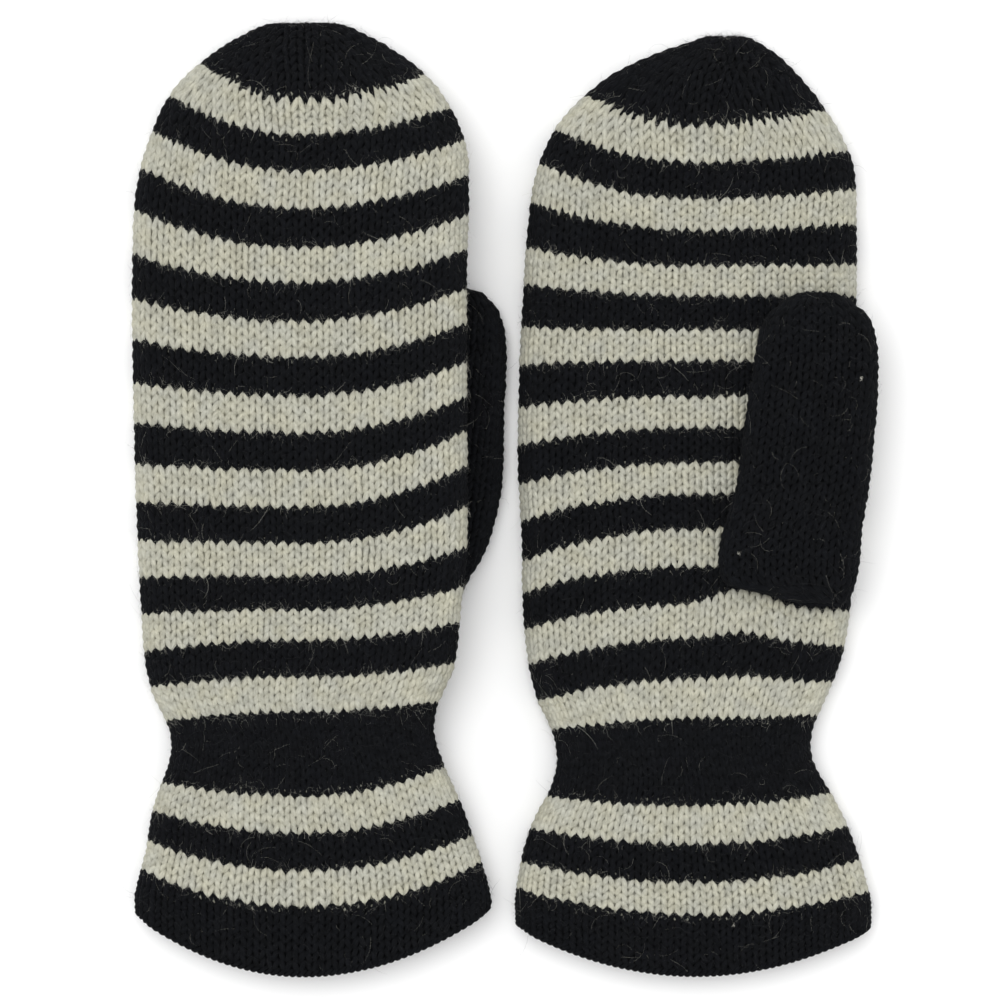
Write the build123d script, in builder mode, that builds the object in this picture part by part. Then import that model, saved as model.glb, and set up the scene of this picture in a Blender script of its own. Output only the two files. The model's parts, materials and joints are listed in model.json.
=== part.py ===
"""A pair of striped knitted mittens lying flat: the left one back up, the right one palm up.

Each mitten is a tube of knitting pressed flat. It is lofted hollow through the stations of its
outline and cut along its course lines into one ring for every stripe. The thumb is a second tube,
worked from the stitches round a slit in the palm, and it lies along the palm: under the left hand
and on top of the right one. Millimetres, +Z up, fingers towards +Y, origin under the middle.
"""

import os
from math import ceil, cos, exp, radians, sin

from build123d import *

# Knitted fabric
WALL = 2.6  # one layer of the fabric
REST_DEPTH = 0.3  # how far each underside is pressed flat by the surface it lies on
CROWN = 0.1  # the bulge of the upper face, as a share of the tube's thickness

# The pair
LENGTH = 281.7  # from the lowest point of the cuff to the fingertips
HALF_HAND = 49.5  # half the hand's width, where a course line has its full rise
LEFT_AXIS = -59.1  # the x of each mitten's centre line
RIGHT_AXIS = 56.5
STATION_STEP = 6.0  # the furthest apart that two cross-sections are
COURSE_POINTS = 17  # points of a course line, from one side of the mitten to the other
COURSE_REACH = 70.0  # how far a course line runs to each side of the centre line
TALL = 60.0  # more than the height of anything here
BEYOND_TIP = 350.0  # a height past the fingertips and the ends of the last course line

# Small pieces
CAST_ON = 1.8  # height of the looped first row
ELASTIC_THREAD = 0.9
ELASTIC_ROWS = 4
ELASTIC_MARGIN = 6.0  # from the first and last threads to the ends of the wrist's stripe
CLOSING = (5.0, 1.8)  # width and thickness of the gathered last stitches
CLOSING_DEPTH = 6.5
SLIT = (30.0, 5.0)  # the thumb opening in the palm
SLIT_RIM = 0.8  # the picked-up stitches that line it
SLIT_DEPTH = 11.8  # distances from the middle of the hand, out of the palm: the end of the slit,
RIM_START = 4.9  # and the ends of its lining
RIM_END = 9.7

# Stripes from the cuff to the fingertips. Each is a name and its upper course line: the height on
# the centre line, then the rise of that line at the left and at the right edge of the hand.
STRIPE_NAMES = ["hem_black", "cuff_cream_1", "cuff_black_1", "cuff_cream_2", "wrist_black"]
for number in range(1, 9):
    STRIPE_NAMES += [f"hand_cream_{number}", f"hand_black_{number}"]
STRIPE_NAMES += ["hand_cream_9", "tip_black"]

LEFT_COURSES = [
    (0.0, 17.5, 15.5), (20.7, 11.5, 11.5), (31.0, 10.2, 10.2), (42.2, 7.7, 11.5),
    (52.8, 5.7, 12.4), (78.2, -4.9, 4.4), (88.2, -4.1, 4.9), (99.1, -4.0, 6.2),
    (108.0, -1.6, 7.1), (118.0, -0.8, 8.5), (127.4, 0.8, 11.1), (138.1, 1.6, 12.5),
    (148.7, 2.0, 12.0), (159.9, 2.9, 10.7), (170.5, 4.1, 10.2), (182.0, 5.3, 10.2),
    (192.3, 6.9, 9.8), (203.8, 8.6, 9.8), (213.9, 11.5, 9.8), (225.7, 13.0, 9.8),
    (236.6, 15.0, 9.8), (247.5, 18.6, 10.2), (256.7, 33.0, 14.7),
]  # fmt: skip
RIGHT_COURSES = [
    (0.0, 12.5, 12.5), (18.3, 6.5, 6.0), (27.4, 5.5, 6.8), (38.9, 4.6, 6.4),
    (49.9, 3.7, 5.9), (76.1, -5.0, 1.4), (87.3, -7.3, -1.4), (99.4, -7.8, -3.2),
    (109.4, -6.9, -2.7), (120.7, -7.3, 3.0), (131.6, -8.7, 3.0), (141.9, -7.3, 1.0),
    (151.0, -5.5, 1.0), (161.4, -4.6, 0.0), (170.5, -2.7, 0.0), (181.1, -0.9, 0.0),
    (190.0, 0.9, 0.0), (200.3, 3.2, 0.0), (208.9, 5.5, 0.5), (219.5, 8.7, 2.3),
    (228.6, 12.3, 3.2), (239.5, 14.2, 4.6), (249.9, 20.0, 7.5),
]  # fmt: skip

# Where the thumb pulls the stripes below it up into a peak, on the right mitten
PEAK = 13.9
PEAK_WIDTH = 9.0
PEAK_RISES = {6: 1.0, 7: 2.1, 8: 5.3}  # by number of the course line

# Outline stations of a hand: height, left edge, right edge, thickness, tilt in degrees. The left
# hand leans on the thumb beneath it, so its sections tilt.
LEFT_HAND = [
    (-2.0, -49.0, 54.5, 13.0, 1.0), (12.0, -49.7, 55.6, 13.0, 1.2),
    (23.6, -49.9, 55.5, 13.0, 1.5),
    (36.9, -46.6, 51.6, 13.0, 2.0), (50.2, -44.3, 46.9, 13.0, 3.0),
    (63.4, -39.5, 41.2, 13.0, 5.0), (72.3, -39.6, 38.6, 13.0, 6.5),
    (81.1, -44.0, 40.1, 13.5, 8.0), (90.0, -46.6, 44.5, 14.0, 9.0),
    (107.7, -48.1, 46.6, 15.0, 10.0), (125.4, -49.0, 48.4, 15.0, 10.0),
    (169.6, -50.4, 48.4, 15.0, 10.0), (208.0, -50.7, 48.4, 15.0, 10.0),
    (232.4, -49.5, 49.0, 14.5, 8.0), (244.9, -46.3, 48.1, 14.0, 6.5),
    (258.1, -40.7, 42.2, 12.5, 5.0), (267.0, -33.6, 34.8, 10.5, 4.0),
    (275.8, -21.8, 22.4, 8.0, 3.0), (280.3, -13.3, 13.9, 6.5, 2.5),
    (281.7, -8.0, 8.0, 5.4, 2.5),
]  # fmt: skip
RIGHT_HAND = [
    (-2.0, -53.0, 52.5, 13.0, 0.0), (10.0, -53.5, 52.9, 13.0, 0.0),
    (19.2, -53.4, 52.8, 13.0, 0.0),
    (32.5, -51.6, 49.3, 13.0, 0.0), (45.7, -47.8, 44.5, 13.0, 0.0),
    (54.6, -42.8, 39.8, 13.0, 0.0), (63.4, -40.7, 34.8, 13.0, 0.0),
    (72.3, -42.3, 34.8, 13.0, 0.0), (81.1, -46.6, 38.6, 13.5, 0.0),
    (94.4, -49.6, 43.7, 14.5, 0.0), (112.1, -51.0, 46.4, 15.0, 0.0),
    (125.4, -51.0, 47.6, 15.0, 0.0), (152.0, -52.3, 48.1, 15.0, 0.0),
    (191.8, -51.3, 47.8, 15.0, 0.0), (227.2, -48.7, 47.8, 14.5, 0.0),
    (240.4, -45.7, 46.6, 14.0, 0.0), (253.7, -38.6, 40.1, 12.5, 0.0),
    (265.0, -26.0, 31.5, 10.5, 0.0), (272.0, -12.5, 24.5, 8.0, 0.0),
    (276.4, 0.5, 18.0, 6.5, 0.0), (277.9, 4.0, 14.0, 5.4, 0.0),
]  # fmt: skip
HAND_TAPER = 240.0  # the heights from which the cavities end one wall short of the fabric
THUMB_TAPER = 190.0

# Outline stations of a thumb: as for a hand, with the height of its underside before the tilt.
LEFT_THUMB = [
    (109.5, 16.0, 45.0, 6.8, 2.8, 10.0), (113.0, 15.0, 47.0, 3.6, 6.0, 10.0),
    (118.0, 13.5, 50.0, 0.8, 8.8, 8.0), (124.0, 13.0, 53.5, -0.2, 9.4, 5.0),
    (131.0, 13.5, 56.0, -0.3, 9.6, 2.0), (143.0, 15.3, 58.7, -0.3, 10.0, 0.0),
    (169.6, 20.4, 59.6, -0.3, 10.3, 0.0), (183.0, 22.7, 60.2, -0.3, 10.3, 0.0),
    (192.0, 25.1, 59.3, -0.3, 10.0, 0.0),
    (197.0, 28.0, 57.5, -0.3, 9.4, 0.0), (201.3, 33.9, 53.5, -0.3, 8.0, 0.0),
    (203.4, 39.5, 47.5, -0.3, 6.0, 0.0),
]  # fmt: skip
RIGHT_THUMB = [
    (109.3, 33.0, 43.5, 15.3, 2.8, 0.0), (111.0, 25.0, 45.0, 15.3, 4.2, 0.0),
    (113.0, 18.0, 46.0, 15.3, 5.6, 0.0), (115.0, 9.0, 46.6, 15.3, 7.0, 0.0),
    (118.0, 6.6, 47.4, 15.3, 8.8, 0.0), (124.0, 6.2, 48.2, 15.3, 9.8, 0.0),
    (131.9, 7.7, 48.7, 15.3, 10.0, 0.0),
    (143.1, 11.2, 50.7, 15.3, 10.0, 0.0), (169.6, 15.0, 53.1, 15.3, 10.0, 0.0),
    (180.2, 16.8, 53.4, 15.3, 10.0, 0.0), (189.7, 18.3, 52.4, 15.3, 10.0, 0.0),
    (194.7, 20.9, 50.2, 15.3, 9.4, 0.0), (199.1, 25.7, 44.5, 15.3, 8.0, 0.0),
    (201.5, 31.5, 39.5, 15.3, 6.0, 0.0),
]  # fmt: skip
THUMB_NAMES = ["thumb_root", "thumb_lower", "thumb_upper", "thumb_tip"]
THUMB_CUTS = [108.0, 127.0, 141.0, 188.0, 210.0]  # heights between the pieces of a thumb
SLIT_PLACE = {"left": (30.0, 116.5, 10.8), "right": (26.0, 116.6, -4.0)}  # x, height, slant
PALM_SIDE = {"left": -1, "right": 1}  # which way the palm faces, along Z


def height_to_y(height):
    """The y of a height above the lowest point of the cuff."""
    return height - LENGTH / 2


def section_plane(x, height, z, tilt):
    """Plane of a cross-section, facing the cuff, with its x axis along the section's width."""
    lean = radians(tilt)
    return Plane(
        origin=(x, height_to_y(height), z), x_dir=(cos(lean), 0, sin(lean)), z_dir=(0, -1, 0)
    )


def resting_height(width, thickness, tilt):
    """Height of a section's middle when its lowest edge is pressed into the surface."""
    return thickness / 2 - REST_DEPTH + (width - thickness) / 2 * sin(radians(tilt))


def smoothed(stations):
    """Stations no further apart than STATION_STEP, on smooth curves through the given ones."""
    slopes = []
    for index in range(len(stations)):
        before = stations[max(index - 1, 0)]
        after = stations[min(index + 1, len(stations) - 1)]
        slopes.append([(b - a) / (after[0] - before[0]) for a, b in zip(before, after)])
    finer = [stations[0]]
    for index, (start, end) in enumerate(zip(stations, stations[1:])):
        span = end[0] - start[0]
        steps = ceil(span / STATION_STEP)
        for step in range(1, steps + 1):
            t = step / steps
            weights = (
                (1 + 2 * t) * (1 - t) ** 2,
                t * (1 - t) ** 2 * span,
                t**2 * (3 - 2 * t),
                t**2 * (t - 1) * span,
            )
            ends = zip(start, slopes[index], end, slopes[index + 1])
            finer.append(tuple(sum(w * v for w, v in zip(weights, four)) for four in ends))
    return finer


def hand_sections(stations, axis):
    """Middle, width, thickness and tilt of each section of a hand that lies on the surface."""
    sections = []
    for height, left, right, thickness, tilt in smoothed(stations):
        width = (right - left - thickness) / cos(radians(tilt)) + thickness
        z = resting_height(width, thickness, tilt)
        sections.append((axis + (left + right) / 2, height, z, width, thickness, tilt))
    return sections


def thumb_sections(stations, axis):
    """The same for a thumb, whose sections state the height of their underside."""
    sections = []
    for height, left, right, under, thickness, tilt in smoothed(stations):
        width = (right - left - thickness) / cos(radians(tilt)) + thickness
        z = under + thickness / 2 + (width - thickness) / 2 * sin(radians(tilt))
        sections.append((axis + (left + right) / 2, height, z, width, thickness, tilt))
    return sections


def tube(sections, shrink=0.0):
    """Solid tube through flattened sections, each made smaller all round by shrink."""
    with BuildPart() as solid:
        for x, height, z, width, thickness, tilt in sections:
            half_width = width / 2 - shrink
            half_thick = thickness / 2 - shrink
            shoulder = half_width - half_thick
            brow = half_thick - CROWN * thickness
            with BuildSketch(section_plane(x, height, z, tilt)):
                with BuildLine():
                    Line((-shoulder, -half_thick), (shoulder, -half_thick))
                    ThreePointArc((shoulder, -half_thick), (half_width, 0), (shoulder, brow))
                    ThreePointArc((shoulder, brow), (0, half_thick), (-shoulder, brow))
                    ThreePointArc((-shoulder, brow), (-half_width, 0), (-shoulder, -half_thick))
                make_face()
        loft(ruled=True)
    return solid.part


def cavity_sections(sections, open_end, taper_start):
    """Sections of the space inside: past the open end, and one wall short of the closed one."""
    inner = []
    for index, (x, height, z, width, thickness, tilt) in enumerate(sections):
        if index == 0:
            height -= open_end
        if height > taper_start:
            height -= WALL
        if thickness > 2 * WALL + 1 and width - thickness > 1:
            inner.append((x, height, z, width, thickness, tilt))
    return inner


def course_points(course, number, axis, side):
    """Points of a course line across the mitten, at z = 0."""
    centre, left_rise, right_rise = course
    points = []
    for step in range(COURSE_POINTS):
        across = COURSE_REACH * (2 * step / (COURSE_POINTS - 1) - 1)
        rise = left_rise if across < 0 else right_rise
        height = centre + rise * (across / HALF_HAND) ** 2
        if side == "right" and number in PEAK_RISES:
            height += PEAK_RISES[number] * exp(-(((across - PEAK) / PEAK_WIDTH) ** 2))
        points.append((axis + across, height_to_y(height)))
    return points


def largest(part):
    """The largest solid of a part, without the slivers that a cut along an edge can leave."""
    return part.solids().sort_by(SortBy.VOLUME)[-1]


def slice_between(solid, lower, upper):
    """The part of a solid between two lines of points, and above the surface."""
    with BuildPart() as piece:
        add(solid)
        with BuildSketch(Plane.XY):
            with BuildLine():
                Spline(*lower)
                Line(lower[-1], upper[-1])
                Spline(*reversed(upper))
                Line(upper[0], lower[0])
            make_face()
        extrude(amount=TALL, mode=Mode.INTERSECT)
    return largest(piece.part)


def slab_between(solid, low, high):
    """The part of a solid between two heights, and above the surface."""
    with BuildPart() as piece:
        add(solid)
        with BuildSketch(Plane.XY):
            with Locations((0, height_to_y((low + high) / 2))):
                Rectangle(2 * LENGTH, high - low)
        extrude(amount=TALL, mode=Mode.INTERSECT)
    return piece.part


def without(solid, tool):
    """A solid with another one taken out of it."""
    with BuildPart() as piece:
        add(solid)
        add(tool, mode=Mode.SUBTRACT)
    return piece.part


def slot_post(palm, slant, width, breadth, start, end):
    """Post with a slot-shaped section, standing on the palm from one distance to another."""
    with BuildPart() as post:
        with BuildSketch(palm.offset(start)):
            SlotOverall(width, breadth, rotation=slant)
        extrude(amount=end - start)
    return post.part


def save(part, name):
    """Label a finished piece and write it to its own file."""
    part.label = name
    export_step(part, f"parts/{name}.step")


def make_mitten(side, hand_stations, thumb_stations, courses, axis):
    """Every piece of one mitten, written to parts/."""
    sections = hand_sections(hand_stations, axis)
    hollow = tube(cavity_sections(sections, open_end=1.0, taper_start=HAND_TAPER), shrink=WALL)
    shell = without(tube(sections), hollow)

    palm, slant = palm_plane(side, sections, axis)
    shell = without(shell, slot_post(palm, slant, *SLIT, 0, SLIT_DEPTH))

    # Drawn-through closing: the gathered last stitches fill the small opening at the tip.
    tip_x, tip_height, tip_z, _, _, tip_tilt = sections[-1]
    with BuildPart() as closing:
        with BuildSketch(section_plane(tip_x, tip_height, tip_z, tip_tilt)):
            SlotOverall(*CLOSING)
        extrude(amount=CLOSING_DEPTH)
    plug = without(closing.part, hollow)

    lines = [course_points(c, n, axis, side) for n, c in enumerate(courses)]
    beyond = [(x, height_to_y(BEYOND_TIP)) for x, _ in lines[0]]
    first_row = [(x, y + CAST_ON) for x, y in lines[0]]
    save(slice_between(shell, lines[0], first_row), f"{side}_cast_on_edge")
    lowers = [first_row] + lines[1:]
    uppers = lines[1:] + [beyond]
    for name, lower, upper in zip(STRIPE_NAMES, lowers, uppers, strict=True):
        band = slice_between(shell, lower, upper)
        if name == "tip_black":
            band = without(band, closing.part)
        save(band, f"{side}_{name}")
    save(plug, f"{side}_tip_closing")

    # Elastic threads carried round inside the wrist.
    wrist = STRIPE_NAMES.index("wrist_black")
    wrist_low = courses[wrist][0] + ELASTIC_MARGIN
    wrist_high = courses[wrist + 1][0] - ELASTIC_MARGIN
    room = cavity_sections(sections, open_end=1.0, taper_start=HAND_TAPER)
    within = tube(room, shrink=WALL + ELASTIC_THREAD)
    with BuildPart() as elastic:
        for row in range(ELASTIC_ROWS):
            low = wrist_low + (wrist_high - wrist_low) * row / (ELASTIC_ROWS - 1)
            add(without(slab_between(hollow, low, low + ELASTIC_THREAD), within))
    save(elastic.part, f"{side}_wrist_elastic")

    make_thumb(side, thumb_sections(thumb_stations, axis), palm, slant)


def palm_plane(side, sections, axis):
    """Plane through the slit, halfway between the layers of the hand and facing out of the palm."""
    x, height, slant = SLIT_PLACE[side]
    nearest = min(sections, key=lambda section: abs(section[1] - height))
    lean = radians(nearest[5])
    middle = nearest[2] + (axis + x - nearest[0]) * sin(lean)
    facing = PALM_SIDE[side]
    palm = Plane(
        origin=(axis + x, height_to_y(height), middle),
        x_dir=(cos(lean), 0, sin(lean)),
        z_dir=(-sin(lean) * facing, 0, cos(lean) * facing),
    )
    return palm, slant * facing


def make_thumb(side, sections, palm, slant):
    """The four pieces of a thumb, from the slit in the palm to its tip."""
    inside = tube(cavity_sections(sections[1:], open_end=0.0, taper_start=THUMB_TAPER), shrink=WALL)
    skin = without(tube(sections), inside)
    for name, low, high in zip(THUMB_NAMES, THUMB_CUTS, THUMB_CUTS[1:]):
        piece = slab_between(skin, low, high)
        if name == "thumb_root":
            piece = join_to_palm(piece, palm, slant)
        save(piece, f"{side}_{name}")


def join_to_palm(root, palm, slant):
    """The root with the picked-up stitches that line the slit, and the way through them."""
    width, breadth = SLIT
    rim = slot_post(palm, slant, width, breadth, RIM_START, RIM_END)
    way = slot_post(
        palm, slant, width - 2 * SLIT_RIM, breadth - 2 * SLIT_RIM, RIM_START, SLIT_DEPTH
    )
    with BuildPart() as joined:
        add(root)
        add(rim)
        add(way, mode=Mode.SUBTRACT)
    return joined.part


def main():
    os.makedirs("parts", exist_ok=True)
    make_mitten("left", LEFT_HAND, LEFT_THUMB, LEFT_COURSES, LEFT_AXIS)
    make_mitten("right", RIGHT_HAND, RIGHT_THUMB, RIGHT_COURSES, RIGHT_AXIS)


main()
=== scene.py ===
"""Striped knitted mittens: every stitch, the felted web behind it and the stray fibres over it.

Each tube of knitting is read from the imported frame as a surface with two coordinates: the share of
the way round it, from the middle of its upper face, and a stripe coordinate that grows by one from
each colour change to the next. Rounds of yarn are laid on that surface. Lengths are millimetres
until a mesh is written.
"""

import json
import math

import bpy
import numpy as np
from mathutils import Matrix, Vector


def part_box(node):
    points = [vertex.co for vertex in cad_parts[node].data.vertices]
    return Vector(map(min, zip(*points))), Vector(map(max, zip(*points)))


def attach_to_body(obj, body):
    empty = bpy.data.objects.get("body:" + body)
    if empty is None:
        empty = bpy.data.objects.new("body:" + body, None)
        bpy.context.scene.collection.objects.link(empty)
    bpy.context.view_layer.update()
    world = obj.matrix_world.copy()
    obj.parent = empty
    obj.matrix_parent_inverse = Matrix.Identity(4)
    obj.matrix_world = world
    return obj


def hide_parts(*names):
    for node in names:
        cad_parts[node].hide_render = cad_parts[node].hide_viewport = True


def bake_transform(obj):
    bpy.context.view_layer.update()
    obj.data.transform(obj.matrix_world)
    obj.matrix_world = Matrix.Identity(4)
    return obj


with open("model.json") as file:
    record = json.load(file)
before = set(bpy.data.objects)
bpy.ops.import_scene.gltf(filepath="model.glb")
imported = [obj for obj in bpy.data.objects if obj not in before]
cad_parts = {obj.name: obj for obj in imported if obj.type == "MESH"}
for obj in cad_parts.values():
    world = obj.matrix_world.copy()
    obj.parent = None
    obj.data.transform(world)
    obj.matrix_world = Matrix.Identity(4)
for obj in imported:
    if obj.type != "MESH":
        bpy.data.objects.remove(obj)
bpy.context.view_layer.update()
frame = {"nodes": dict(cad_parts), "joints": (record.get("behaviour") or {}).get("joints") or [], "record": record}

MM = 0.001

# Stripes from the cuff to the fingertips, and the rounds of stitches in each
STRIPES = ["hem_black", "cuff_cream_1", "cuff_black_1", "cuff_cream_2", "wrist_black"]
for number in range(1, 9):
    STRIPES += [f"hand_cream_{number}", f"hand_black_{number}"]
STRIPES += ["hand_cream_9", "tip_black"]
BAND_ROUNDS = 4
ROUNDS = {name: BAND_ROUNDS for name in STRIPES}
ROUNDS.update(hem_black=7, wrist_black=9, tip_black=9)
TIP_STRIPE = len(STRIPES) - 1
TAPER_STRIPE = 19  # from here towards the fingertips the rounds lose stitches
THUMB_PARTS = ["thumb_root", "thumb_lower", "thumb_upper", "thumb_tip"]
THUMB_ROUND = 2.75  # height of one round of the thumb
WALL = 2.6  # thickness of the fabric

# Stitches. A loop's shape is in shares of the stitch's width and of the round's height.
HAND_STITCHES = 58
THUMB_STITCHES = 26
STITCH_WIDTH = 3.7
LOOP_LEAN = 0.22  # how far the legs of a loop lean out, which makes the V
LOOP_HEIGHT = 0.8  # half the height of a loop
LOOP_WAVE = 0.5  # how far the heads and feet dip behind the legs
YARN_RADIUS = 0.84
YARN_DEPTH = 1.3  # from the outer surface to the yarn's centre line, on average
YARN_SQUEEZE = 0.08  # how much thinner the yarn is in the heads and feet, and thicker in the legs
SAMPLES = 12  # points of yarn in a stitch
SIDES = 6  # faces round the yarn
CAP_ROUNDS = 2  # rounds drawn in over the end of a tube
CAP_SHARES = [0.72, 0.42, 0.16]  # how wide the end is as it closes, a round at a time

# The felted web that fills the fabric behind the stitches
WEB_DEPTHS = (1.5, 2.0)  # its two faces
WEB_LEVELS = 3  # levels of points in a round of the hand
THUMB_WEB_LEVELS = 2
FEWEST_LEVELS = 4

# How uneven the hand knitting is: standard deviations from stitch to stitch
UNEVEN_LEAN = 0.16  # share of a loop's lean
UNEVEN_HEIGHT = 0.08  # share of a loop's height
UNEVEN_RADIUS = 0.07  # share of the yarn's radius
UNEVEN_ALONG = 0.035  # stitches
UNEVEN_RISE = 0.05  # rounds
UNEVEN_DEPTH = 0.05  # millimetres

# Cast-on edge: two strands that twist round each other
CAST_ON_HEIGHT = 1.8
CAST_ON_LEVEL = 0.55  # the middle of the twist, as a share of the edge's height
CAST_ON_SWING = 0.4  # how far a strand swings up and down, as such a share
CAST_ON_WAVE = 0.55  # how far it swings in and out
CAST_ON_RADIUS = 0.8  # share of the yarn's radius

# Drawn-through closing of the fingertips: two turns of yarn
CLOSING_RECESS = 1.1  # how far the yarn is drawn in
CLOSING_TURNS = 2
CLOSING_FLATNESS = 2.6  # the closing's thickness over the yarn's radius
CLOSING_PITCH = 1.5  # from one turn to the next, in radii of the yarn
CLOSING_WAVE = 0.3
CLOSING_POINTS = 24

# Elastic in the wrist
ELASTIC_ROWS = 4
ELASTIC_RADIUS = 0.4

# Reading the frame
COLUMNS = 192  # points round a cross-section
RAYS = 720  # directions in which a cross-section's outline is looked for
TINY = 1e-6  # a difference too small to matter
SLICE_STEP = 1.5  # between cross-sections
TIP_STEP = 0.5
TIP_REACH = 16.0  # how much of the fingertips is read at the finer step
TIP_MARGIN = 0.1  # from the last cross-section to the end of the fingertips
FULL_HEIGHT = 22.0  # the lowest height where the curved hem leaves a whole cross-section
BELOW_HEM = 6.0
THUMB_MARGINS = (0.2, 0.05)  # from the ends of the thumb to its first and last cross-sections
# Heights over the thumb's start where its section can't be told from the lining of the slit
SLIT_LINING = {"left": (1.2, 13.5), "right": (0.0, 0.0)}
LINE_REACH = 0.85  # the share of the half width in which course lines are read
LINE_POINTS = 35  # places at which a course line is read
SAME_LINE = 0.05  # how nearly the stripes on two sides of a course line agree
FINE = 24  # levels of the surface grid in one stripe

# Loose fibres. Each kind is the range of its lengths, its lift off the fabric and its radius.
NAP = ((0.9, 3.0), 0.6, 0.028)
HAIRS = ((3.0, 10.0), 0.35, 0.028)
FRINGE = ((0.8, 3.6), 0.5, 0.0154)
STRAYS = ((1.0, 9.0), 0.3, 0.01176)
NAP_FIBRES = 500  # in a stripe of four rounds
LONG_FIBRES = 30
STRAYS_ON_CREAM = 0.2  # strays of the other colour for each long fibre
STRAYS_ON_BLACK = 1.4
FRINGE_FIBRES = 550  # at each edge of a cream stripe
FRINGE_SHARE = 0.1  # how far the fringe starts from the edge, as a share of the stripe
THUMB_FUZZ_ROUNDS = 9  # rounds of a thumb that carry as many fibres as a stripe of the hand
ROOT_DEPTH = 0.6  # how deep in the yarn a fibre may start
CURL = 1.6  # standard deviation of the angle that a fibre turns through
LEAST_CURL = 0.1
FIBRE_POINTS = 6
FIBRE_SIDES = 3  # a triangle closes each end
FIBRE_TAPER = 0.7  # how much thinner a fibre is at its end
OFF_AXIS = (0.31, 0.42, 0.85)  # no fibre runs along this direction
CLEAR_OF_FLOOR = 0.15
OWN_FIBRE, OTHER_FIBRE = 1, 2  # which of a piece's materials: its own colour or the other one

# Specks of pale lint: the piece, the share of the way round it and the stripe or round
LINT = {
    "right_thumb_upper": (0.154, 24.3),
    "right_thumb_root": (0.841, 5.5),
    "right_hem_black": (0.052, 0.8),
}
LINT_FIBRES = 7
LINT_RADIUS = 0.07
LINT_SPREAD = 0.15
LINT_LENGTHS = (0.8, 1.7)
LINT_CURL = 2.5

# Tone of the wool. Drift and patches are scaled by the metre. The plies are scaled by the
# millimetre along the yarn, and by the whole way round it.
DRIFT_SCALE = 420
PATCH_SCALE = 150
PLY_SCALE = (0.9, 9.0, 1.0)
PLY_TWIST = 0.12
STREAK_SHARE = 0.55
COOL_TINT = (0.95, 0.955, 0.965)
WARM_TINT = (1.0, 0.985, 0.93)
WOOL_BUMP = 0.7
WOOL_BUMP_HEIGHT = 0.0004

# Lighting and camera
CAMERA_HEIGHT = 1.6
PICTURE_WIDTH = 0.295  # what the picture spans at the height of the mittens' middle
PICTURE_CENTRE = (-0.001, -0.0007)
MITTEN_MIDDLE = 0.008
SENSOR = 36.0
SKY = 1.0
SUN = 1.3
SUN_ANGLE = math.radians(45)  # the width of the sun, which makes its shadows soft
SUN_TILT = (math.radians(-14), math.radians(-11), 0)
FLOOR_SIZE = 30

SEED = 7


def node_triangles(name):
    """Corners of a CAD node's triangles."""
    mesh = frame["nodes"][name].data
    mesh.calc_loop_triangles()
    corners = np.empty(len(mesh.vertices) * 3)
    mesh.vertices.foreach_get("co", corners)
    indices = np.empty(len(mesh.loop_triangles) * 3, dtype=np.int32)
    mesh.loop_triangles.foreach_get("vertices", indices)
    return corners.reshape(-1, 3)[indices.reshape(-1, 3)] / MM


def crossings(triangles, axis, value):
    """Points where the edges of triangles cross the plane at a value on one axis."""
    points = []
    for first, second in ((0, 1), (1, 2), (2, 0)):
        start = triangles[:, first]
        end = triangles[:, second]
        crossing = (start[:, axis] - value) * (end[:, axis] - value) < 0
        start = start[crossing]
        end = end[crossing]
        share = (value - start[:, axis]) / (end[:, axis] - start[:, axis])
        points.append(start + (end - start) * share[:, None])
    return np.vstack(points)


def outline(triangles, y):
    """Evenly spaced points round a cross-section, from the middle of its top towards +X."""
    points = crossings(triangles, 1, y)
    turn = np.linspace(0, 2 * math.pi, RAYS, endpoint=False)
    directions = np.stack([np.sin(turn), np.cos(turn)])
    loop = points[np.argmax(points[:, [0, 2]] @ directions, axis=0)]
    loop = loop[np.linalg.norm(loop - np.roll(loop, 1, axis=0), axis=1) > TINY]
    following = np.roll(loop, -1, axis=0)
    middle, _ = extent(loop[:, 0])
    last = np.flatnonzero((loop[:, 0] < middle) & (following[:, 0] >= middle))[0]
    share = (middle - loop[last, 0]) / (following[last, 0] - loop[last, 0])
    top = loop[last] + share * (following[last] - loop[last])
    path = np.vstack([top, np.roll(loop, -last - 1, axis=0), top])
    lengths = np.concatenate([[0], np.cumsum(np.linalg.norm(np.diff(path, axis=0), axis=1))])
    even = np.linspace(0, lengths[-1], COLUMNS, endpoint=False)
    return np.stack([np.interp(even, lengths, path[:, i]) for i in range(3)], axis=1)


def edge_at(triangles, x, pick):
    """The lowest or highest y of a stripe at some x, or nothing where it doesn't reach."""
    found = crossings(triangles, 0, x)[:, 1]
    return pick(found) if len(found) else np.nan


def course_lines(stripes, axis, half_width):
    """Functions of x that give the y of each colour change, from the hem up.

    A line is read where the stripes on its two sides agree, and carried on as a parabola.
    """
    across = np.linspace(-LINE_REACH, LINE_REACH, LINE_POINTS) * half_width
    lines = [np.array([edge_at(stripes[0], axis + x, np.min) for x in across])]
    for below, above in zip(stripes, stripes[1:]):
        upper = np.array([edge_at(below, axis + x, np.max) for x in across])
        lower = np.array([edge_at(above, axis + x, np.min) for x in across])
        lines.append(np.where(np.abs(upper - lower) < SAME_LINE, upper, np.nan))

    def height(values, x):
        """A line's y at each x."""
        known = ~np.isnan(values)
        places = across[known]
        values = values[known]
        away = x - axis
        centre = np.interp(0, places, values)
        end = np.where(away < 0, places[0], places[-1])
        edge = np.where(away < 0, values[0], values[-1])
        beyond = centre + (edge - centre) * (away / end) ** 2
        inside = (away >= places[0]) & (away <= places[-1])
        return np.where(inside, np.interp(away, places, values), beyond)

    return [lambda x, values=values: height(values, x) for values in lines]


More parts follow.
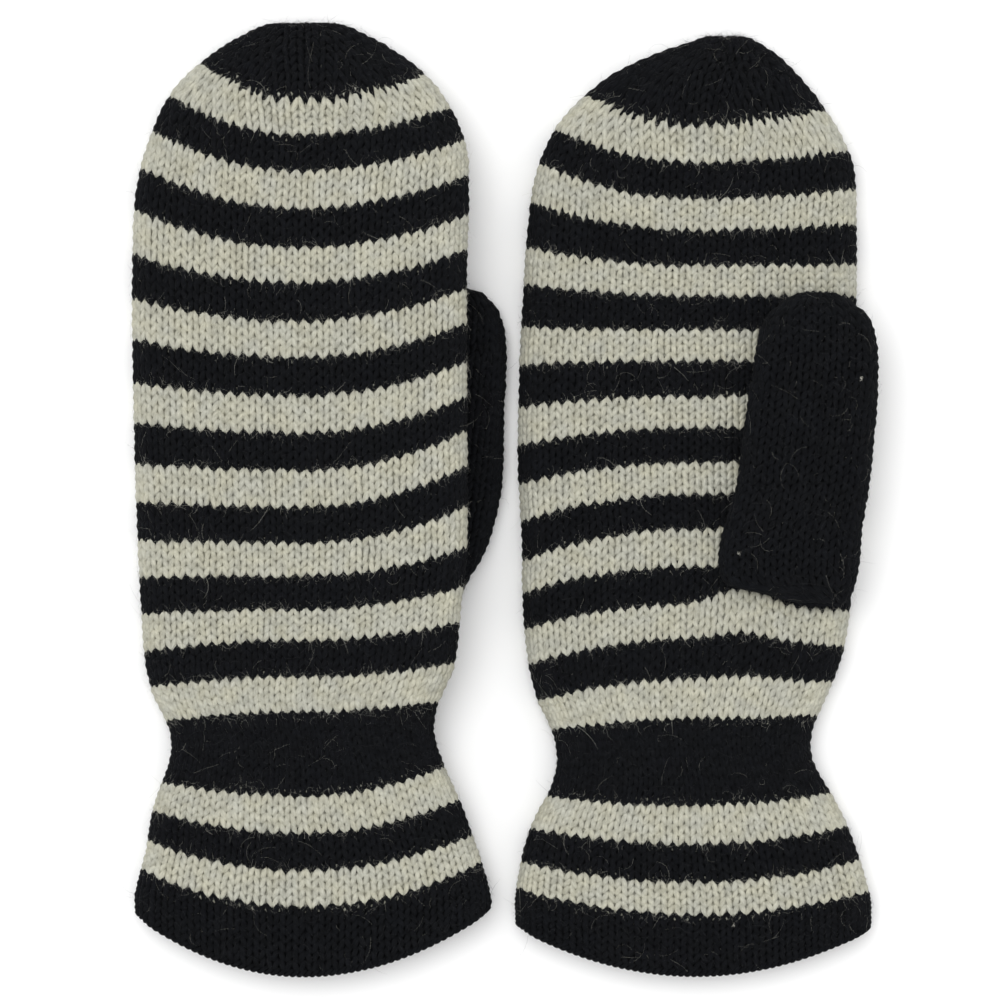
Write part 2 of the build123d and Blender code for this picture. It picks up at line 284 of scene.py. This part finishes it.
def closed_fabric(grid, stripe, cap):
    """Fabric whose end is drawn in to a small hole. cap holds the stripe coordinates of that."""
    rim = grid[:, -1]
    centre = rim.mean(axis=0)
    drawn_in = np.stack([centre + (rim - centre) * share for share in CAP_SHARES], axis=1)
    stripe = np.concatenate([stripe, np.tile(cap, (COLUMNS, 1))], axis=1)
    return Fabric(np.concatenate([grid, drawn_in], axis=1), stripe)


def way_along(grid):
    """Distance of each grid point from the first one of its column."""
    steps = np.linalg.norm(np.diff(grid, axis=1), axis=2)
    return np.concatenate([np.zeros((len(grid), 1)), np.cumsum(steps, axis=1)], axis=1)


def extent(values):
    """Middle and half width of a set of numbers."""
    return (values.min() + values.max()) / 2, (values.max() - values.min()) / 2


class Fabric:
    """The outer surface of a tube of knitting, by share of the way round and by stripe."""

    def __init__(self, grid, stripe):
        """grid holds points by column and level, and stripe the stripe coordinate of each."""
        self.low = stripe[:, 0].max()
        self.high = stripe[:, -1].min()
        count = round((self.high - self.low) * FINE)
        levels = np.linspace(self.low, self.high, count)
        columns = []
        for points, places in zip(grid, stripe):
            columns.append([np.interp(levels, places, points[:, i]) for i in range(3)])
        self.points = np.array(columns).transpose(0, 2, 1)
        round_way = np.roll(self.points, -1, axis=0) - np.roll(self.points, 1, axis=0)
        self.normals = unit(np.cross(round_way, np.gradient(self.points, axis=1)))

    def read(self, grid, round_share, stripe):
        """A value of the surface grid between its points."""
        column = np.mod(round_share, 1) * COLUMNS
        level = (stripe - self.low) / (self.high - self.low) * (self.points.shape[1] - 1)
        level = np.clip(level, 0, self.points.shape[1] - 1.001)
        c = column.astype(int)
        k = level.astype(int)
        u = (column - c)[..., None]
        v = (level - k)[..., None]
        c %= COLUMNS
        beside = (c + 1) % COLUMNS
        lower = grid[c, k] * (1 - u) + grid[beside, k] * u
        upper = grid[c, k + 1] * (1 - u) + grid[beside, k + 1] * u
        return lower * (1 - v) + upper * v

    def facing(self, round_share, stripe):
        """The way out of the fabric."""
        return unit(self.read(self.normals, round_share, stripe))

    def place(self, round_share, stripe, depth):
        """A point at a depth under the outer surface."""
        surface = self.read(self.points, round_share, stripe)
        return surface - self.facing(round_share, stripe) * np.asarray(depth)[..., None]

    def girth(self, stripe):
        """Distance round the tube."""
        ring = self.read(self.points, np.arange(COLUMNS) / COLUMNS, np.full(COLUMNS, stripe))
        return np.linalg.norm(ring - np.roll(ring, 1, axis=0), axis=1).sum()


def hand_fabric(side):
    """The surface of a hand, with its stripe coordinate from the colour changes."""
    stripes = [node_triangles(f"{side}_{name}") for name in STRIPES]
    stripes.insert(0, node_triangles(f"{side}_cast_on_edge"))
    whole = np.vstack(stripes)
    bottom = whole[:, :, 1].min()
    top = whole[:, :, 1].max()
    heights = np.concatenate(
        [
            np.arange(bottom - BELOW_HEM, top - TIP_REACH, SLICE_STEP),
            np.arange(top - TIP_REACH, top - TIP_MARGIN, TIP_STEP),
        ]
    )
    rings = []
    for y in heights:
        # Where the hem cuts the tube short, its lowest whole section is carried on downwards.
        ring = outline(whole, max(y, bottom + FULL_HEIGHT))
        ring[:, 1] = y
        rings.append(ring)
    grid = np.stack(rings, axis=1)
    axis, half_width = extent(grid[:, len(heights) // 2, 0])
    hem = np.vstack(stripes[:2])
    lines = course_lines([hem] + stripes[2:], axis, half_width)
    x, y = grid[..., 0], grid[..., 1]
    edges = [line(x) for line in lines]
    stripe = np.minimum((y - edges[0]) / (edges[1] - edges[0]), 0)
    for lower, upper in zip(edges, edges[1:]):
        stripe += np.clip((y - lower) / (upper - lower), 0, 1)
    # The last stripe is divided along the surface, so its rounds stay even over the fingertips.
    way = way_along(grid)
    for column in range(COLUMNS):
        start = np.interp(TIP_STRIPE - TINY, stripe[column], way[column])
        stripe[column] += np.clip((way[column] - start) / (way[column, -1] - start), 0, 1)
    cap = TIP_STRIPE + 1 + np.arange(1, len(CAP_SHARES) + 1) / ROUNDS["tip_black"]
    return closed_fabric(grid, stripe, cap)


def thumb_fabric(side):
    """The surface of a thumb, how many rounds it has and the y where it starts.

    Its stripe coordinate counts rounds from the root.
    """
    whole = np.vstack([node_triangles(f"{side}_{name}") for name in THUMB_PARTS])
    # The root's lining hangs down into the slit, so it is pressed up to the tube's underside.
    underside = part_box(f"{side}_thumb_upper")[0].z / MM
    whole[:, :, 2] = np.maximum(whole[:, :, 2], underside)
    bottom = whole[:, :, 1].min()
    top = whole[:, :, 1].max()
    heights = np.arange(bottom + THUMB_MARGINS[0], top - THUMB_MARGINS[1], TIP_STEP)
    lining_low, lining_high = SLIT_LINING[side]
    lined = (heights > bottom + lining_low) & (heights < bottom + lining_high)
    known = heights[~lined]
    rings = np.stack([outline(whole, y) for y in known], axis=1)
    grid = np.empty((COLUMNS, len(heights), 3))
    for column in range(COLUMNS):
        for i in (0, 2):
            grid[column, :, i] = np.interp(heights, known, rings[column, :, i])
    grid[..., 1] = heights
    rounds = (top - bottom) / THUMB_ROUND
    stripe = np.tile((heights - heights[0]) / (heights[-1] - heights[0]) * rounds, (COLUMNS, 1))
    cap = rounds + np.arange(1, len(CAP_SHARES) + 1)
    return closed_fabric(grid, stripe, cap), rounds, bottom


def spread(girth, most, tapering):
    """How many stitches a round has, some of their numbers and their shares of the way round.

    Where a round tapers, the wales of each face keep their width and the sides take up the rest.
    """
    half = girth / 2
    face = most // 2
    side = 0
    if tapering:
        face = min(face, 2 * int((half / STITCH_WIDTH - 1) / 2) + 1)
        side = round(half / STITCH_WIDTH - face) if face < most // 2 else 0
    width = STITCH_WIDTH if side else half / face
    reach = face / 2
    stitches = [0, reach, reach + side, 3 * reach + side, 3 * reach + 2 * side]
    shares = [0, reach * width, half - reach * width, half + reach * width, girth - reach * width]
    count = 2 * face + 2 * side
    return count, stitches + [count], np.array(shares + [girth]) / girth


def torus_faces(rings, corners):
    """Four-sided faces of a closed row of rings, each with so many corners."""
    i, k = np.meshgrid(np.arange(rings), np.arange(corners), indexing="ij")
    along = (i + 1) % rings
    beside = (k + 1) % corners
    faces = [i * corners + k, along * corners + k, along * corners + beside, i * corners + beside]
    return np.stack(faces, axis=-1).reshape(-1, 4)


def unit(vectors):
    """Vectors of length one, along the last axis."""
    return vectors / np.linalg.norm(vectors, axis=-1, keepdims=True)


class Piece:
    """A mesh as it grows."""

    def __init__(self):
        self.points = []
        self.faces = []
        self.uvs = []
        self.finishes = []
        self.count = 0

    def add(self, points, faces, uvs, finish=0):
        """Add points, faces of one kind, the texture place of each face corner and a finish."""
        self.points.append(points)
        self.faces.append(faces + self.count)
        self.uvs.append(uvs)
        self.finishes.append(np.full(len(faces), finish))
        self.count += len(points)

    def add_yarn(self, line, facing, radius):
        """Add a closed tube along a line. facing is the way out of the fabric."""
        tangent = unit(np.roll(line, -1, axis=0) - np.roll(line, 1, axis=0))
        across = unit(np.cross(tangent, facing))
        out = np.cross(across, tangent)
        turn = (2 * math.pi * np.arange(SIDES) / SIDES)[None, :, None]
        ring = np.sin(turn) * across[:, None] - np.cos(turn) * out[:, None]
        points = line[:, None] + ring * np.broadcast_to(radius, len(line))[:, None, None]
        steps = np.linalg.norm(np.roll(line, -1, axis=0) - line, axis=1)
        way = np.concatenate([[0], np.cumsum(steps)])
        i, k = np.meshgrid(np.arange(len(line)), np.arange(SIDES), indexing="ij")
        u = np.stack([way[i], way[i + 1], way[i + 1], way[i]], axis=-1)
        v = np.stack([k, k, k + 1, k + 1], axis=-1) / SIDES
        uvs = np.stack([u, v], axis=-1).reshape(-1, 4, 2)
        self.add(points.reshape(-1, 3), torus_faces(len(line), SIDES), uvs)

    def add_web(self, fabric, low, high, levels):
        """Add the closed ring of felted fibres behind the stitches."""
        columns = COLUMNS // 2
        share = np.arange(columns) / columns
        places = np.linspace(low, high, levels)
        outer = fabric.place(share[:, None], places[None, :], WEB_DEPTHS[0])
        inner = fabric.place(share[:, None], places[None, ::-1], WEB_DEPTHS[1])
        section = np.concatenate([outer, inner], axis=1)
        faces = torus_faces(columns, section.shape[1])
        self.add(section.reshape(-1, 3), faces, np.zeros((len(faces), 4, 2)))

    def add_fibres(self, starts, headings, asides, turns, lengths, radius, finish):
        """Add thin hairs that curl from a heading towards one side by an angle."""
        share = np.linspace(0, 1, FIBRE_POINTS)[None, :, None]
        angle = turns[:, None, None]
        curl = (1 - np.cos(angle * share)) / angle
        reach = np.sin(angle * share) / angle
        way = headings[:, None] * reach + asides[:, None] * curl
        line = starts[:, None] + lengths[:, None, None] * way
        line = line[line[..., 2].min(axis=1) > CLEAR_OF_FLOOR]
        tangent = unit(np.gradient(line, axis=1))
        side = unit(np.cross(tangent, OFF_AXIS))
        other = np.cross(tangent, side)
        sides = FIBRE_SIDES
        turn = (2 * math.pi * np.arange(sides) / sides)[:, None]
        ring = side[:, :, None] * np.cos(turn) + other[:, :, None] * np.sin(turn)
        points = line[:, :, None] + ring * radius * (1 - FIBRE_TAPER * share[..., None])
        hair = np.arange(len(line))[:, None] * FIBRE_POINTS * sides
        i, k = np.meshgrid(np.arange(FIBRE_POINTS - 1) * sides, np.arange(sides), indexing="ij")
        beside = (k + 1) % sides
        sleeve = np.stack([i + k, i + beside, i + sides + beside, i + sides + k], axis=-1)
        faces = (sleeve.reshape(1, -1) + hair).reshape(-1, 4)
        last = (FIBRE_POINTS - 1) * sides
        ends = np.array([[0, 2, 1], [last, last + 1, last + 2]])
        caps = (ends.reshape(1, -1) + hair).reshape(-1, 3)
        self.faces.append(caps + self.count)
        self.uvs.append(np.zeros((len(caps), 3, 2)))
        self.finishes.append(np.full(len(caps), finish))
        self.add(points.reshape(-1, 3), faces, np.zeros((len(faces), 4, 2)), finish)

    def build(self, name, finishes):
        """The Blender object, in metres, with one material for each finish."""
        points = np.vstack(self.points) * MM
        corners = np.concatenate([faces.ravel() for faces in self.faces])
        sizes = np.concatenate([np.full(len(faces), faces.shape[1]) for faces in self.faces])
        mesh = bpy.data.meshes.new(name)
        mesh.vertices.add(len(points))
        mesh.vertices.foreach_set("co", points.astype(np.float32).ravel())
        mesh.loops.add(len(corners))
        mesh.loops.foreach_set("vertex_index", corners.astype(np.int32))
        mesh.polygons.add(len(sizes))
        starts = np.concatenate([[0], np.cumsum(sizes)[:-1]])
        mesh.polygons.foreach_set("loop_start", starts.astype(np.int32))
        mesh.polygons.foreach_set("material_index", np.concatenate(self.finishes).astype(np.int32))
        mesh.update(calc_edges=True)
        layer = mesh.uv_layers.new(name="Yarn")
        uvs = np.concatenate([uvs.reshape(-1, 2) for uvs in self.uvs])
        layer.data.foreach_set("uv", uvs.astype(np.float32).ravel())
        mesh.shade_smooth()
        for material in finishes:
            mesh.materials.append(material)
        thing = bpy.data.objects.new(name, mesh)
        bpy.context.scene.collection.objects.link(thing)
        return thing


def knit_round(piece, fabric, stripe, height, most, tapering, dice):
    """Add one closed round of loops. height is that of a round in stripe coordinates."""
    count, stitches, shares = spread(fabric.girth(stripe), most, tapering)
    total = count * SAMPLES
    place = np.arange(total) / SAMPLES
    turn = 2 * math.pi * place

    def wander(amount):
        """A value that drifts from stitch to stitch."""
        values = dice.normal(0, amount, count)
        return np.interp(place, np.arange(count + 1), np.append(values, values[0]))

    lean = LOOP_LEAN * (1 + wander(UNEVEN_LEAN)) * np.sin(2 * turn)
    along = place - 0.5 + lean + wander(UNEVEN_ALONG)
    share = np.interp(np.mod(along, count), stitches, shares)
    rise = -LOOP_HEIGHT * (1 + wander(UNEVEN_HEIGHT)) * np.cos(turn) + wander(UNEVEN_RISE)
    depth = YARN_DEPTH + LOOP_WAVE * np.cos(2 * turn) + wander(UNEVEN_DEPTH)
    level = stripe + rise * height
    radius = YARN_RADIUS * (1 + wander(UNEVEN_RADIUS) - YARN_SQUEEZE * np.cos(2 * turn))
    piece.add_yarn(fabric.place(share, level, depth), fabric.facing(share, level), radius)


def add_fuzz(piece, fabric, levels, finish, kind, dice):
    """Add loose fibres of one kind that start in the yarn, one at each stripe coordinate given."""
    length, lift, radius = kind
    amount = len(levels)
    share = dice.random(amount)
    starts = fabric.place(share, levels, dice.uniform(0.0, ROOT_DEPTH, amount))
    facing = fabric.facing(share, levels)
    random_way = dice.normal(0, 1, (amount, 3))
    flat = unit(random_way - (random_way * facing).sum(axis=1, keepdims=True) * facing)
    heading = flat + facing * lift * dice.random((amount, 1))
    aside = np.cross(flat, facing) - facing * lift / 2
    turns = dice.normal(0, CURL, amount)
    turns += np.copysign(LEAST_CURL, turns)
    piece.add_fibres(starts, heading, aside, turns, dice.uniform(*length, amount), radius, finish)


def add_lint(piece, fabric, node, dice):
    """Add the tangled speck of pale lint that some pieces have."""
    if node not in LINT:
        return
    share, level = (np.full(LINT_FIBRES, value) for value in LINT[node])
    starts = fabric.place(share, level, 0.0) + dice.normal(0, LINT_SPREAD, (LINT_FIBRES, 3))
    heading = unit(dice.normal(0, 1, (LINT_FIBRES, 3)))
    aside = np.cross(heading, fabric.facing(share, level))
    turns = np.full(LINT_FIBRES, LINT_CURL)
    lengths = dice.uniform(*LINT_LENGTHS, LINT_FIBRES)
    piece.add_fibres(starts, heading, aside, turns, lengths, LINT_RADIUS, OTHER_FIBRE)


def noise(tree, vector, scale, detail, roughness=0.5):
    """A noise texture's value."""
    texture = tree.nodes.new("ShaderNodeTexNoise")
    texture.inputs["Scale"].default_value = scale
    texture.inputs["Detail"].default_value = detail
    texture.inputs["Roughness"].default_value = roughness
    tree.links.new(vector, texture.inputs["Vector"])
    return texture.outputs["Fac"]


def ramp(tree, value, low, high):
    """A colour that goes from one to another. low and high are each a value and its colour."""
    scale = tree.nodes.new("ShaderNodeValToRGB")
    for element, (position, colour) in zip(scale.color_ramp.elements, (low, high)):
        element.position = position
        element.color = (*colour, 1)
    tree.links.new(value, scale.inputs["Fac"])
    return scale.outputs["Color"]


def mix(tree, first, second, factor, **settings):
    """Two values or colours mixed."""
    node = tree.nodes.new("ShaderNodeMix")
    for name, setting in settings.items():
        setattr(node, name, setting)
    node.inputs["Factor"].default_value = factor
    tree.links.new(first, node.inputs["A"])
    tree.links.new(second, node.inputs["B"])
    return node.outputs["Result"]


def wool(name, dark, light, sheen):
    """Felted two-ply wool: the tone drifts over the fabric and streaks follow the yarn."""
    material = bpy.data.materials.new(name)
    material.use_nodes = True
    tree = material.node_tree
    shader = tree.nodes["Principled BSDF"]
    shader.inputs["Roughness"].default_value = 0.92
    shader.inputs["Specular IOR Level"].default_value = 0.08
    shader.inputs["Sheen Weight"].default_value = sheen
    shader.inputs["Sheen Roughness"].default_value = 0.6

    place = tree.nodes.new("ShaderNodeTexCoord")
    plies = tree.nodes.new("ShaderNodeMapping")
    plies.inputs["Scale"].default_value = PLY_SCALE
    plies.inputs["Rotation"].default_value = (0, 0, PLY_TWIST)
    tree.links.new(place.outputs["UV"], plies.inputs["Vector"])
    drift = noise(tree, place.outputs["Object"], scale=DRIFT_SCALE, detail=4)
    streak = noise(tree, plies.outputs["Vector"], scale=1.0, detail=5, roughness=0.65)
    tone = mix(tree, drift, streak, STREAK_SHARE)
    patches = noise(tree, place.outputs["Object"], scale=PATCH_SCALE, detail=2)
    tint = ramp(tree, patches, (0.35, COOL_TINT), (0.65, WARM_TINT))
    yarn = ramp(tree, tone, (0.38, dark), (0.62, light))
    colour = mix(tree, yarn, tint, 1.0, data_type="RGBA", blend_type="MULTIPLY")
    tree.links.new(colour, shader.inputs["Base Color"])

    bump = tree.nodes.new("ShaderNodeBump")
    bump.inputs["Strength"].default_value = WOOL_BUMP
    bump.inputs["Distance"].default_value = WOOL_BUMP_HEIGHT
    tree.links.new(tone, bump.inputs["Height"])
    tree.links.new(bump.outputs["Normal"], shader.inputs["Normal"])
    return material


def plain(name, colour, roughness):
    """A material of one colour."""
    material = bpy.data.materials.new(name)
    material.use_nodes = True
    shader = material.node_tree.nodes["Principled BSDF"]
    shader.inputs["Base Color"].default_value = (*colour, 1)
    shader.inputs["Roughness"].default_value = roughness
    return material


def attach(thing, node):
    """Put a finished piece in its CAD node's place: hide the node, then bake the piece's transform if the node
    bends with a joint, or else attach it to its body.
    """
    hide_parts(node)
    for joint in frame["joints"]:
        if node in [row["node"] for row in joint.get("deforming_nodes") or []]:
            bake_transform(thing)
            return
    for body, members in frame["record"]["behaviour"]["bodies"].items():
        if node in members:
            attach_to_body(thing, body)


def finishes_of(name, looks):
    """A piece's yarn, the fibres of the same colour, and the ones that came off the other."""
    if "cream" in name:
        return [looks["cream"], looks["cream fibre"], looks["black fibre"]]
    return [looks["black"], looks["black fibre"], looks["cream fibre"]]


def dress(piece, fabric, low, high, share, cream, dice):
    """Add a piece's loose fibres: a short nap, some long hairs, strays of the other colour.

    share scales how many there are. A cream piece also has a fringe over the black beside it.
    """
    nap = dice.uniform(low, high, int(NAP_FIBRES * share))
    add_fuzz(piece, fabric, nap, OWN_FIBRE, NAP, dice)
    hairs = dice.uniform(low, high, int(LONG_FIBRES * share))
    add_fuzz(piece, fabric, hairs, OWN_FIBRE, HAIRS, dice)
    if cream:
        reach = (high - low) * FRINGE_SHARE
        fringe = np.concatenate(
            [
                dice.uniform(low - reach, low + reach, FRINGE_FIBRES),
                dice.uniform(high - reach, high + reach, FRINGE_FIBRES),
            ]
        )
        add_fuzz(piece, fabric, fringe, OWN_FIBRE, FRINGE, dice)
    amount = STRAYS_ON_CREAM if cream else STRAYS_ON_BLACK
    strays = dice.uniform(low, high, int(LONG_FIBRES * share * amount))
    add_fuzz(piece, fabric, strays, OTHER_FIBRE, STRAYS, dice)


def make_stripes(side, fabric, looks, dice):
    """Every stripe of a hand, and the cast-on edge."""
    cast_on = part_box(f"{side}_cast_on_edge")[0].y / MM + CAST_ON_HEIGHT
    hem_bottom, hem_top = fabric.place(np.zeros(2), np.array([0.0, 1.0]), 0.0)[:, 1]
    edge = (cast_on - hem_bottom) / (hem_top - hem_bottom)
    make_cast_on(side, fabric, edge, looks)
    for index, name in enumerate(STRIPES):
        piece = Piece()
        rounds = ROUNDS[name]
        low = edge if index == 0 else index
        height = (index + 1 - low) / rounds
        laid = rounds + (CAP_ROUNDS if index == TIP_STRIPE else 0)
        tapering = index >= TAPER_STRIPE
        for row in range(laid):
            stripe = low + (row + 0.5) * height
            knit_round(piece, fabric, stripe, height, HAND_STITCHES, tapering, dice)
        high = low + laid * height
        piece.add_web(fabric, low, high, WEB_LEVELS * laid)
        dress(piece, fabric, low, high, rounds / BAND_ROUNDS, "cream" in name, dice)
        node = f"{side}_{name}"
        add_lint(piece, fabric, node, dice)
        attach(piece.build(f"{node}_knit", finishes_of(name, looks)), node)


def make_cast_on(side, fabric, edge, looks):
    """The cast-on edge: two strands that twist round each other once in every stitch."""
    piece = Piece()
    total = HAND_STITCHES * SAMPLES
    share = np.arange(total) / total
    turn = share * HAND_STITCHES * 2 * math.pi
    for strand in range(2):
        phase = turn + strand * math.pi
        level = edge * (CAST_ON_LEVEL + CAST_ON_SWING * np.cos(phase))
        depth = YARN_DEPTH + CAST_ON_WAVE * np.sin(phase)
        line = fabric.place(share, level, depth)
        piece.add_yarn(line, fabric.facing(share, level), YARN_RADIUS * CAST_ON_RADIUS)
    node = f"{side}_cast_on_edge"
    attach(piece.build(f"{node}_knit", finishes_of(node, looks)), node)


def make_closing(side, looks):
    """The gathered last stitches: the yarn drawn twice through them."""
    node = f"{side}_tip_closing"
    low, high = (Vector(corner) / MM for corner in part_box(node))
    middle = (low + high) / 2
    piece = Piece()
    turn = np.linspace(0, 2 * math.pi, CLOSING_POINTS, endpoint=False)
    radius = (high.z - low.z) / CLOSING_FLATNESS
    wave = CLOSING_WAVE * np.sin(2 * turn)
    for number in range(CLOSING_TURNS):
        x = middle.x + (high.x - middle.x - radius) * np.cos(turn)
        y = high.y - CLOSING_RECESS - radius * (1 + number * CLOSING_PITCH) + wave
        z = middle.z + (high.z - middle.z - radius) * np.sin(turn)
        piece.add_yarn(np.stack([x, y, z], axis=1), np.array([0.0, 1.0, 0.0]), radius)
    attach(piece.build(f"{node}_yarn", finishes_of(node, looks)), node)


def make_elastic(side, looks):
    """Elastic threads that run round inside the wrist."""
    node = f"{side}_wrist_elastic"
    low, high = (Vector(corner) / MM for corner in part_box(node))
    shell = node_triangles(f"{side}_wrist_black")
    piece = Piece()
    for y in np.linspace(low.y + ELASTIC_RADIUS, high.y - ELASTIC_RADIUS, ELASTIC_ROWS):
        ring = outline(shell, y)
        around = np.roll(ring, -1, axis=0) - np.roll(ring, 1, axis=0)
        facing = unit(np.cross(around, [0.0, 1.0, 0.0]))
        line = ring - facing * (WALL + ELASTIC_RADIUS)
        piece.add_yarn(line[::2], facing[::2], ELASTIC_RADIUS)
    attach(piece.build(f"{node}_threads", [looks["elastic"]]), node)


def make_thumb(side, looks, dice):
    """The four pieces of a thumb, each with the rounds whose middles lie in it."""
    fabric, rounds, bottom = thumb_fabric(side)
    laid = round(rounds)
    pieces = {name: Piece() for name in THUMB_PARTS}
    tops = [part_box(f"{side}_{name}")[1].y / MM for name in THUMB_PARTS[:-1]]
    ends = [(top - bottom) / THUMB_ROUND for top in tops] + [laid + CAP_ROUNDS]
    limits = dict(zip(THUMB_PARTS, zip([0] + ends[:-1], ends)))
    for row in range(laid + CAP_ROUNDS):
        stripe = row + 0.5
        owner = next(name for name in THUMB_PARTS if stripe < limits[name][1])
        knit_round(pieces[owner], fabric, stripe, 1.0, THUMB_STITCHES, True, dice)
    for name, piece in pieces.items():
        low, high = limits[name]
        levels = max(FEWEST_LEVELS, round(THUMB_WEB_LEVELS * (high - low)))
        piece.add_web(fabric, low, high, levels)
        dress(piece, fabric, low, high, (high - low) / THUMB_FUZZ_ROUNDS, False, dice)
        node = f"{side}_{name}"
        add_lint(piece, fabric, node, dice)
        attach(piece.build(f"{node}_knit", finishes_of(name, looks)), node)


def make_looks():
    """Every material of the mittens."""
    return {
        "black": wool("black_wool", (0.0018, 0.0021, 0.0028), (0.0055, 0.0061, 0.0077), 0.008),
        "cream": wool("cream_wool", (0.31, 0.306, 0.256), (0.495, 0.49, 0.418), 0.05),
        "black fibre": plain("black_fibre", (0.012, 0.013, 0.015), 0.8),
        "cream fibre": plain("cream_fibre", (0.5, 0.49, 0.43), 0.8),
        "elastic": plain("elastic_rubber", (0.02, 0.02, 0.022), 0.5),
    }


def make_studio():
    """Pale floor, even sky and one very soft sun."""
    bpy.ops.mesh.primitive_plane_add(size=FLOOR_SIZE, location=(0, 0, 0))
    floor = bpy.context.object
    floor.name = "floor"
    floor.data.materials.append(plain("floor_white", (0.9, 0.9, 0.9), 0.9))
    world = bpy.data.worlds.new("studio")
    world.use_nodes = True
    sky = world.node_tree.nodes["Background"]
    sky.inputs["Color"].default_value = (1, 1, 1, 1)
    sky.inputs["Strength"].default_value = SKY
    bpy.context.scene.world = world
    sun = bpy.data.lights.new("soft_sun", "SUN")
    sun.energy = SUN
    sun.angle = SUN_ANGLE
    lamp = bpy.data.objects.new("soft_sun", sun)
    lamp.rotation_euler = SUN_TILT
    bpy.context.scene.collection.objects.link(lamp)


def make_camera():
    """Long lens straight above the pair."""
    data = bpy.data.cameras.new("camera")
    data.sensor_width = SENSOR
    data.lens = SENSOR * (CAMERA_HEIGHT - MITTEN_MIDDLE) / PICTURE_WIDTH
    data.clip_start = 0.05
    data.clip_end = 100
    camera = bpy.data.objects.new("camera", data)
    camera.location = (*PICTURE_CENTRE, CAMERA_HEIGHT)
    bpy.context.scene.collection.objects.link(camera)
    bpy.context.scene.camera = camera
    bpy.context.scene.view_settings.view_transform = "Standard"


def main():
    """Build both mittens, then the studio round them."""
    looks = make_looks()
    dice = np.random.default_rng(SEED)
    for side in ("left", "right"):
        fabric = hand_fabric(side)
        make_stripes(side, fabric, looks, dice)
        make_closing(side, looks)
        make_elastic(side, looks)
        make_thumb(side, looks, dice)
    make_studio()
    make_camera()


main()
